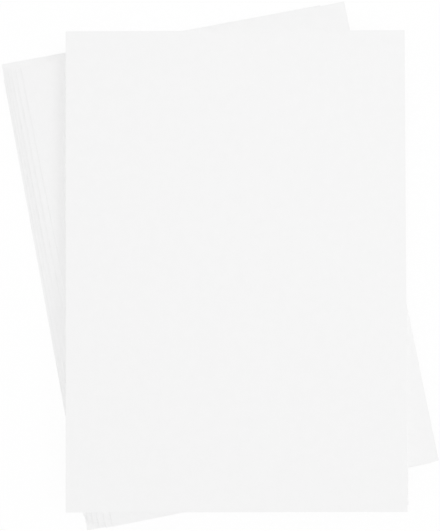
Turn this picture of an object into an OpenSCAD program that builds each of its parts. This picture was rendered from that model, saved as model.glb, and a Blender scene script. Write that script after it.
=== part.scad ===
// A pack of white A4 card: loose sheets in two piles. The lower pile is turned and pushed into a
// shallow fan, and the upright pile lies squared on top of it. The origin is on the surface that
// the pack lies on, under the middle of the top sheet. The sheets' long edges run along Y.

/* [Sheet] */
// Width of one sheet
sheet_w = 210; // [60:1:300]
// Length of one sheet
sheet_l = 297; // [90:1:420]
// Thickness of one sheet
sheet_t = 0.4; // [0.15:0.05:1]

/* [Upright pile] */
// Number of sheets in the upright pile
upper_count = 25; // [2:1:30]
// How far the lowest upright sheet has crept to the right
creep = 2.4; // [0:0.1:8]
// How far the lowest upright sheet has turned, anticlockwise from above, in degrees
creep_turn = 0.35; // [0:0.05:2]
// How the creep fades upwards: 1 is evenly, 2 and more leave it mostly to the lowest sheets
creep_fade = 2; // [1:0.5:4]
// How far a squared sheet may lie off its place
upper_scatter = 0.18; // [0:0.02:1]

/* [Turned pile] */
// Number of sheets in the turned pile, stray sheets included
lower_count = 25; // [6:1:30]
// Turn of the lowest fanned sheet, anticlockwise from above, in degrees
pile_turn = 10.2; // [0:0.1:30]
// Middle of the lowest fanned sheet, to the right of the upright pile's middle
pile_x = -21.3; // [-60:0.1:60]
// Middle of the lowest fanned sheet, above the upright pile's middle
pile_y = 6.6; // [-60:0.1:60]
// How far a fanned sheet may lie off its place
lower_scatter = 0.12; // [0:0.02:1]

/* [Fan] */
// Width of the fan along the head edge
fan_head = 13.7; // [0:0.1:40]
// Width of the fan along the foot edge
fan_foot = 19.5; // [0:0.1:40]
// How far the uppermost fanned sheet has slid towards the foot
fan_slide = 6.9; // [0:0.1:30]
// Places of the fan's groups along the head edge, as shares of the fan's width
fan_groups = [0, 0.12, 0.29, 0.48, 0.73, 1];
// How far each of the groups has slid towards the foot, as shares of the uppermost one's slide
group_slides = [0, 0.43, 0.56, 0.8, 1.04, 1];
// How much a group opens towards the foot: 0 stays one step, 1 is one even slope of sheets
fan_opening = 0.3; // [0:0.05:1]

/* [Stray sheets] */
// Number of sheets under the fan that have slid further towards the foot
stray_count = 2; // [0:1:4]
// Turn of the stray sheets, anticlockwise from above, in degrees
stray_turn = 10.5; // [0:0.1:30]
// Middle of the stray sheets, to the right of the lowest fanned sheet's middle
stray_x = 1.6; // [-20:0.1:20]
// Middle of the stray sheets, above the lowest fanned sheet's middle
stray_y = -9; // [-20:0.1:20]

/* [Hidden] */
fan_count = lower_count - stray_count;
lower_pile_h = lower_count * sheet_t;
lower_seed = 11;
upper_seed = 29;

function pile_name(pile, i) = str(pile, "_sheet_", i < 9 ? "0" : "", i + 1);

LOWER = [for (i = [0 : lower_count - 1]) pile_name("lower", i)];
UPPER = [for (i = [0 : upper_count - 1]) pile_name("upper", i)];

// Small sideways, lengthwise errors that squaring by hand leaves, the same each time
lower_off = [for (i = [0 : lower_count - 1]) rands(-lower_scatter, lower_scatter, 2, lower_seed + i)];
upper_off = [for (i = [0 : upper_count - 1]) rands(-upper_scatter, upper_scatter, 2, upper_seed + i)];

// Place of a fanned sheet in the fan, from 0 at the lowest to 1 at the uppermost: at the head the
// sheets lie in a few groups, and towards the foot each group opens into steps of single sheets
function even_share(k) = k / (fan_count - 1);
function group_of(k) = floor(k * len(fan_groups) / fan_count);
function head_share(k) = fan_groups[group_of(k)];
function slide_share(k) = group_slides[group_of(k)];
function foot_share(k) = head_share(k) * (1 - fan_opening) + even_share(k) * fan_opening;

// Left end of a fanned sheet's head edge and foot edge, to the right of the lowest one's
function head_step(k) = fan_head * head_share(k);
function foot_step(k) = fan_foot * foot_share(k);

// Creep of an upright sheet, from 0 at the top sheet to 1 at the lowest
function creep_share(i) = pow(1 - i / (upper_count - 1), creep_fade);

// One sheet, guillotined square: its middle at the origin, or the left end of its head edge
module card_sheet() {
    color("#f6f6f5")
        translate([-sheet_w / 2, -sheet_l / 2, 0])
            cube([sheet_w, sheet_l, sheet_t]);
}

module card_from_head_corner() {
    translate([sheet_w / 2, -sheet_l / 2, 0])
        card_sheet();
}

// Sheet k of the fan, counted from its lowest: it hangs from its place on the head edge and is
// turned so that its left edge ends at its place on the foot edge
module fanned_sheet(k) {
    fan_turn = atan((foot_step(k) - head_step(k)) / sheet_l);
    rotate(pile_turn)
        translate([head_step(k) - sheet_w / 2, sheet_l / 2 - fan_slide * slide_share(k), 0])
            rotate(fan_turn)
                card_from_head_corner();
}

module stray_sheet() {
    translate([stray_x, stray_y, 0])
        rotate(stray_turn)
            card_sheet();
}

// Sheet i of the turned pile, counted from the surface that the pack lies on
module lower_sheet(i) {
    translate([pile_x + lower_off[i][0], pile_y + lower_off[i][1], i * sheet_t])
        if (i < stray_count) stray_sheet();
        else fanned_sheet(i - stray_count);
}

// Sheet i of the upright pile, counted from the turned pile
module upper_sheet(i) {
    is_top = i == upper_count - 1;
    off = is_top ? [0, 0] : upper_off[i];
    translate([creep * creep_share(i) + off[0], off[1], lower_pile_h + i * sheet_t])
        rotate(creep_turn * creep_share(i))
            card_sheet();
}

for (i = [0 : lower_count - 1])
    lower_sheet(i);

for (i = [0 : upper_count - 1])
    upper_sheet(i);
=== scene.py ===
import math

import bmesh
import bpy
from mathutils import Matrix, Vector, noise


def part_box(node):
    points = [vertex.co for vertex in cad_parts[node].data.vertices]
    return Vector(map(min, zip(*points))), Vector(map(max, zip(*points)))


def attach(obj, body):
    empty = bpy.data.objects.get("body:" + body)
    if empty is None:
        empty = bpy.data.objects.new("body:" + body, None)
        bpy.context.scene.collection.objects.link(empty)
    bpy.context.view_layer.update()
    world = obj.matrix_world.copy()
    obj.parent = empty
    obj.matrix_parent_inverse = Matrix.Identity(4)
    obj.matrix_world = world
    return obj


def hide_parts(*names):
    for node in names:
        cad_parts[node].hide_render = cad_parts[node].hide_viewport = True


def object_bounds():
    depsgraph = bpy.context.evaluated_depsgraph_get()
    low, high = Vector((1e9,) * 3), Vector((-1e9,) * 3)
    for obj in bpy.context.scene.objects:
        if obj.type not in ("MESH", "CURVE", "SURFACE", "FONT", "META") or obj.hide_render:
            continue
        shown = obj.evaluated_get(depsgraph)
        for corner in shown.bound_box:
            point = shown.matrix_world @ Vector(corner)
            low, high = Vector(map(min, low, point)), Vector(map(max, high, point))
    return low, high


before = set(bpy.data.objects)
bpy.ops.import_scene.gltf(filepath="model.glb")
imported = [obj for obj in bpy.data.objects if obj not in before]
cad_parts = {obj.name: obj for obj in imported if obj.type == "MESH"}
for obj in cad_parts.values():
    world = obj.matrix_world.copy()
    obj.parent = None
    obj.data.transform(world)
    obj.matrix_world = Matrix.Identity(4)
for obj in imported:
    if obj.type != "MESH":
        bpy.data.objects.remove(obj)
cad_low, cad_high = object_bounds()


# The stray sheets: the two lowest sheets of the turned pile, slid a little further towards the foot. Like every
# sheet in the pack they are A4 card of about 300 g/m2: bleached pulp with chalk in it, pressed smooth between
# steel rolls, uncoated, and cut to size in thick piles by a guillotine. They lie loose, held by weight alone.
stray_count = 2
air_share = 0.08          # of the pack's height is air between the sheets
air_unevenness = 4.5      # 0 would be the same air everywhere
air_spread = 0.15         # width of a loose or a tight place
air_change = 0.83         # how much the loose places differ from one sheet to the next
corner_blunting = 0.0003
rim_rounding = 0.00004
cells_across = 14
cells_along = 20
cloud_width = 0.006
fibre_width = 0.0004
fibre_stretch = 0.13
tooth_width = 0.0005
scratch_spacing = 0.0006
layer_thickness = 0.0001
edge_tone_drift = 0.08    # of the change from sheet to sheet, so that a tone runs on along its own edge
pattern_step = 0.013      # how far each sheet's patterns move on, so that no two sheets are alike


def to_linear(hex_colour):
    """An sRGB hex value as the linear colour that a shader takes."""
    values = [int(hex_colour[i:i + 2], 16) / 255 for i in (1, 3, 5)]
    return [v / 12.92 if v <= 0.04045 else ((v + 0.055) / 1.055) ** 2.4 for v in values] + [1]


def add_node(tree, kind, settings=None, **inputs):
    """A node with its settings and inputs. An input is a value, or an output socket to link."""
    node = tree.nodes.new(kind)
    for name, value in (settings or {}).items():
        setattr(node, name, value)
    for name, value in inputs.items():
        key = int(name[1:]) if name[0] == "_" and name[1:].isdigit() else name.replace("_", " ")
        if isinstance(value, bpy.types.NodeSocket):
            tree.links.new(value, node.inputs[key])
        else:
            node.inputs[key].default_value = value
    return node


def new_material(name):
    """An empty material with its output node."""
    material = bpy.data.materials.new(name)
    material.use_nodes = True
    material.node_tree.nodes.clear()
    return material, material.node_tree, material.node_tree.nodes.new("ShaderNodeOutputMaterial")


def calendered_card():
    """Uncoated bleached card, pressed smooth between rolls: a quiet white with a soft, nearly matt light on it,
    faint clouds where the pulp lies thicker, and a fine tooth of fibres that run along the sheet."""
    material, tree, out = new_material("uncoated_calendered_card")
    place = add_node(tree, "ShaderNodeAttribute", {"attribute_name": "place_in_sheet"}).outputs["Vector"]

    # Clouds of pulp are 3 to 8 mm wide in the real sheet
    clouds = add_node(tree, "ShaderNodeTexNoise", Vector=place, Scale=1 / cloud_width, Detail=3, Roughness=0.55)
    # Fibres are 0.03 mm wide and 1 to 2 mm long: drawn 0.4 mm wide and 3 mm long, so that they show
    grain = add_node(tree, "ShaderNodeMapping", Vector=place, Scale=(1, fibre_stretch, 1))
    fibres = add_node(tree, "ShaderNodeTexNoise", Vector=grain.outputs[0], Scale=1 / fibre_width, Detail=4,
                      Roughness=0.6)
    # The tooth that the rolls leave is 0.1 mm across: drawn 0.5 mm across, so that it shows
    tooth = add_node(tree, "ShaderNodeTexNoise", Vector=place, Scale=1 / tooth_width, Detail=2, Roughness=0.5)

    cloud_tone = add_node(tree, "ShaderNodeValToRGB", Fac=clouds.outputs["Fac"])
    cloud_tone.color_ramp.elements[0].position = 0.3
    cloud_tone.color_ramp.elements[0].color = to_linear("#f7f7f7")
    cloud_tone.color_ramp.elements[1].position = 0.7
    cloud_tone.color_ramp.elements[1].color = to_linear("#f8f8f8")
    fibre_tone = add_node(tree, "ShaderNodeMix", {"data_type": "RGBA", "blend_type": "MULTIPLY"}, _0=0.02)
    tree.links.new(cloud_tone.outputs["Color"], fibre_tone.inputs[6])
    tree.links.new(fibres.outputs["Fac"], fibre_tone.inputs[7])

    relief = add_node(tree, "ShaderNodeMath", {"operation": "MULTIPLY_ADD"}, _0=fibres.outputs["Fac"], _1=0.6,
                      _2=tooth.outputs["Fac"])
    bump = add_node(tree, "ShaderNodeBump", Height=relief.outputs[0], Strength=0.25, Distance=0.00004)
    surface = add_node(tree, "ShaderNodeBsdfPrincipled", Base_Color=fibre_tone.outputs[2], Roughness=0.78,
                       IOR=1.5, Specular_IOR_Level=0.35, Normal=bump.outputs[0])
    tree.links.new(surface.outputs[0], out.inputs["Surface"])
    return material


def guillotined_edge():
    """The cut face of the card: torn fibre ends in fine layers, with upright scratches from the knife. It is
    rougher and a little darker than the pressed faces, and each sheet's edge has its own tone."""
    material, tree, out = new_material("guillotined_card_edge")
    place = add_node(tree, "ShaderNodeAttribute", {"attribute_name": "place_in_sheet"}).outputs["Vector"]

    # The knife's scratches are 0.1 mm apart: drawn 0.6 mm apart, and they run the whole way down
    upright = add_node(tree, "ShaderNodeMapping", Vector=place, Scale=(1, 1, 0.02))
    scratches = add_node(tree, "ShaderNodeTexNoise", Vector=upright.outputs[0], Scale=1 / scratch_spacing,
                         Detail=3, Roughness=0.6)
    # Layers of pulp are 0.03 mm thick: drawn 0.1 mm thick
    flat = add_node(tree, "ShaderNodeMapping", Vector=place, Scale=(0.02, 0.02, 1))
    layers = add_node(tree, "ShaderNodeTexNoise", Vector=flat.outputs[0], Scale=1 / layer_thickness, Detail=2,
                      Roughness=0.5)
    # One tone for each sheet, drifting slowly along its edge
    whole = add_node(tree, "ShaderNodeMapping", Vector=place,
                     Scale=(edge_tone_drift, edge_tone_drift, 1))
    own_tone = add_node(tree, "ShaderNodeTexNoise", Vector=whole.outputs[0], Scale=1 / pattern_step, Detail=1,
                        Roughness=0.5)

    tone = add_node(tree, "ShaderNodeValToRGB", Fac=own_tone.outputs["Fac"])
    tone.color_ramp.elements[0].position = 0.35
    tone.color_ramp.elements[0].color = to_linear("#f0f0f0")
    tone.color_ramp.elements[1].position = 0.65
    tone.color_ramp.elements[1].color = to_linear("#fbfbfb")
    streaked = add_node(tree, "ShaderNodeMix", {"data_type": "RGBA", "blend_type": "MULTIPLY"}, _0=0.12)
    tree.links.new(tone.outputs["Color"], streaked.inputs[6])
    tree.links.new(scratches.outputs["Fac"], streaked.inputs[7])

    relief = add_node(tree, "ShaderNodeMath", {"operation": "MULTIPLY_ADD"}, _0=layers.outputs["Fac"], _1=0.7,
                      _2=scratches.outputs["Fac"])
    bump = add_node(tree, "ShaderNodeBump", Height=relief.outputs[0], Strength=0.5, Distance=0.00009)
    surface = add_node(tree, "ShaderNodeBsdfPrincipled", Base_Color=streaked.outputs[2], Roughness=0.92,
                       IOR=1.5, Specular_IOR_Level=0.2, Normal=bump.outputs[0])
    tree.links.new(surface.outputs[0], out.inputs["Surface"])
    return material


card_face = calendered_card()
card_edge = guillotined_edge()

nodes_by_height = sorted(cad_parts, key=lambda node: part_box(node)[0].z)
sheet_count = len(nodes_by_height)
pack_height = cad_high.z
sheet_slot = pack_height / sheet_count
sheet_thickness = sheet_slot * (1 - air_share)


def lie_of(node):
    """A sheet's width and length, and the matrix that takes a flat sheet from the origin to where it lies."""
    corners = [v.co.copy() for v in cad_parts[node].data.vertices]
    low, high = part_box(node)
    middle = (low + high) / 2
    corner = min(corners, key=lambda c: (c.x + c.y, c.z))
    right = min(corners, key=lambda c: (c.y - c.x, c.z))
    head = min(corners, key=lambda c: (c.x - c.y, c.z))
    turn = math.atan2(right.y - corner.y, right.x - corner.x)
    matrix = Matrix.Translation((middle.x, middle.y, 0)) @ Matrix.Rotation(turn, 4, "Z")
    return (right - corner).length, (head - corner).length, matrix


def air_under(number, x, y):
    """The air below a sheet at a place: uneven, so that the sheets part in a few loose groups."""
    shares = []
    for i in range(sheet_count):
        parting = noise.noise(Vector((x / air_spread, y / air_spread, i * air_change)))
        shares.append(math.exp(air_unevenness * parting))
    all_air = pack_height - sheet_count * sheet_thickness
    return all_air * sum(shares[:number + 1]) / sum(shares)


def cut_sheet(node):
    """One loose sheet, modelled flat, cut square with blunt corners and softened rims, then laid in its place."""
    number = nodes_by_height.index(node)
    width, length, lie = lie_of(node)
    bm = bmesh.new()
    bmesh.ops.create_grid(bm, x_segments=cells_across, y_segments=cells_along, size=0.5)
    bmesh.ops.scale(bm, vec=(width, length, 1), verts=bm.verts)
    upper = bmesh.ops.extrude_face_region(bm, geom=bm.faces[:])
    upper_verts = [v for v in upper["geom"] if isinstance(v, bmesh.types.BMVert)]
    bmesh.ops.translate(bm, vec=(0, 0, sheet_thickness), verts=upper_verts)
    bmesh.ops.recalc_face_normals(bm, faces=bm.faces)

    upright = [e for e in bm.edges if abs(e.verts[0].co.z - e.verts[1].co.z) > sheet_thickness / 2]
    corners = [e for e in upright if abs(e.verts[0].co.x) > width * 0.499 and abs(e.verts[0].co.y) > length * 0.499]
    bmesh.ops.bevel(bm, geom=corners, offset=corner_blunting, segments=3, affect="EDGES", profile=0.5, material=-1)
    rims = [e for e in bm.edges if len(e.link_faces) == 2 and e.calc_face_angle() > math.radians(80)]
    bmesh.ops.bevel(bm, geom=rims, offset=rim_rounding, segments=2, affect="EDGES", profile=0.5, material=-1)

    place = bm.verts.layers.float_vector.new("place_in_sheet")
    for vert in bm.verts:
        vert[place] = vert.co + Vector((0, 0, number * pattern_step))
    # The knife folds the pressed face over the upper rim, and leaves the lower rim torn
    for face in bm.faces:
        face.material_index = 0 if face.normal.z > 0.6 or face.normal.z < -0.99 else 1
    bmesh.ops.transform(bm, matrix=lie, verts=bm.verts)
    for vert in bm.verts:
        vert.co.z += number * sheet_thickness + air_under(number, vert.co.x, vert.co.y)

    mesh = bpy.data.meshes.new(node)
    bm.to_mesh(mesh)
    bm.free()
    mesh.materials.append(card_face)
    mesh.materials.append(card_edge)
    sheet = bpy.data.objects.new("card_" + node, mesh)
    bpy.context.scene.collection.objects.link(sheet)
    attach(sheet, "root")
    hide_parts(node)


for node in nodes_by_height[:stray_count]:
    cut_sheet(node)


# The fanned sheets: the rest of the turned pile, of the same card. A thumb pushed along their left edges has
# parted them into six groups that step to the right, and each group opens a little towards the foot.
turned_count = 25

for node in nodes_by_height[stray_count:turned_count]:
    cut_sheet(node)


# The upright pile: twenty-four sheets of the same card, knocked square on their long and short edges and laid
# across the turned pile. The lowest have crept a little to the right.
for node in nodes_by_height[turned_count:-1]:
    cut_sheet(node)


# The top sheet: the one sheet whose whole face shows. It is the same card, and it lies flat and unmarked.
cut_sheet(nodes_by_height[-1])


# The floor: a plain white surface that the pack lies on. Seen by the camera it is white, as the
# photograph's background is, and it keeps a share of the pack's soft shadow.
floor_size = 8.0
shadow_share = 0.12
shadow_reach = 0.35


def seen_rays(tree):
    """A socket that is 1 for the rays that show the background: to the camera, in gloss and through glass."""
    rays = add_node(tree, "ShaderNodeLightPath")
    direct = add_node(tree, "ShaderNodeMath", {"operation": "MAXIMUM"}, _0=rays.outputs["Is Camera Ray"],
                      _1=rays.outputs["Is Glossy Ray"])
    seen = add_node(tree, "ShaderNodeMath", {"operation": "MAXIMUM"}, _0=direct.outputs[0],
                    _1=rays.outputs["Is Transmission Ray"])
    return seen.outputs[0]


def white_floor():
    """Matt white board. It lights the sheets' edges from below as a white table does."""
    material, tree, out = new_material("matt_white_floor")
    place = add_node(tree, "ShaderNodeTexCoord").outputs["Object"]
    away = add_node(tree, "ShaderNodeVectorMath", {"operation": "LENGTH"}, _0=place)
    near = add_node(tree, "ShaderNodeMapRange", {"interpolation_type": "SMOOTHSTEP"},
                    Value=away.outputs["Value"], From_Min=shadow_reach / 2, From_Max=shadow_reach * 2,
                    To_Min=1 - shadow_share, To_Max=1)
    seen = seen_rays(tree)
    white = add_node(tree, "ShaderNodeMath", {"operation": "MULTIPLY"}, _0=seen, _1=near.outputs["Result"])
    board = add_node(tree, "ShaderNodeMix", {"data_type": "RGBA"}, _0=seen, _6=to_linear("#f2f2f2"),
                     _7=to_linear("#ffffff"))
    matt = add_node(tree, "ShaderNodeBsdfDiffuse", Color=board.outputs[2])
    bright = add_node(tree, "ShaderNodeEmission", Color=to_linear("#ffffff"), Strength=1)
    mixed = add_node(tree, "ShaderNodeMixShader", Fac=white.outputs[0], _1=matt.outputs[0], _2=bright.outputs[0])
    tree.links.new(mixed.outputs[0], out.inputs["Surface"])
    return material


floor_mesh = bpy.data.meshes.new("floor")
bm = bmesh.new()
bmesh.ops.create_grid(bm, x_segments=1, y_segments=1, size=floor_size / 2)
bm.to_mesh(floor_mesh)
bm.free()
floor_mesh.materials.append(white_floor())
floor = bpy.data.objects.new("floor", floor_mesh)
bpy.context.scene.collection.objects.link(floor)


# The light: a white tent of soft light all round, a strip softbox overhead that lies across the pack from its
# upper right to its lower left corner, and a weak wide softbox far to the right, which gives the soft shadow left
# of the upright pile. The shares add up to a little over 1 under the strip, and to 1 over the sheet as a whole,
# where a colour renders as it is written.
tent_share = 0.605
strip_share = 0.345
side_share = 0.06
strip_height = 1.8
strip_place = (-0.03, 0.12)
strip_size = (1.2, 0.4)
strip_turn = math.radians(52)
side_height = 2.0
side_place = (1.86, 0.0)
side_size = (1.44, 1.2)


def softbox(name, place, height, size, share, turn=0.0):
    """A flat softbox facing down, with the power that gives its share of white at the top of the pack."""
    lamp = bpy.data.lights.new(name, "AREA")
    lamp.shape = "RECTANGLE"
    lamp.size, lamp.size_y = size
    fall = math.cos(math.atan(math.hypot(*place) / height)) ** 4
    lamp.energy = share * math.pi ** 2 * height ** 2 / fall
    holder = bpy.data.objects.new(name, lamp)
    holder.location = (place[0], place[1], height + pack_height)
    holder.rotation_euler.z = turn
    holder.visible_camera = False
    bpy.context.scene.collection.objects.link(holder)


softbox("strip_softbox", strip_place, strip_height, strip_size, strip_share, strip_turn)
softbox("side_softbox", side_place, side_height, side_size, side_share)

tent = bpy.data.worlds.new("white_tent")
tent.use_nodes = True
tent.node_tree.nodes.clear()
strength = add_node(tent.node_tree, "ShaderNodeMapRange", Value=seen_rays(tent.node_tree), To_Min=tent_share,
                    To_Max=1)
glow = add_node(tent.node_tree, "ShaderNodeBackground", Color=to_linear("#ffffff"),
                Strength=strength.outputs["Result"])
add_node(tent.node_tree, "ShaderNodeOutputWorld", Surface=glow.outputs[0])
bpy.context.scene.world = tent


# The camera: nearly straight above the pack, as in the photograph. Its place, tilt and lens were worked out
# from the corners of the top sheet.
camera_height = 0.39977
camera_place = (-0.0089, -0.00088)
camera_tilt = (0.0105284, 0.0021897, -0.0026751)
camera_lens = 41.74
camera_sensor = 36

view = bpy.data.cameras.new("camera")
view.lens = camera_lens
view.sensor_width = camera_sensor
view.clip_start = 0.01
camera = bpy.data.objects.new("camera", view)
camera.location = (camera_place[0], camera_place[1], camera_height)
camera.rotation_euler = camera_tilt
bpy.context.scene.collection.objects.link(camera)
bpy.context.scene.camera = camera
bpy.context.scene.view_settings.view_transform = "Standard"
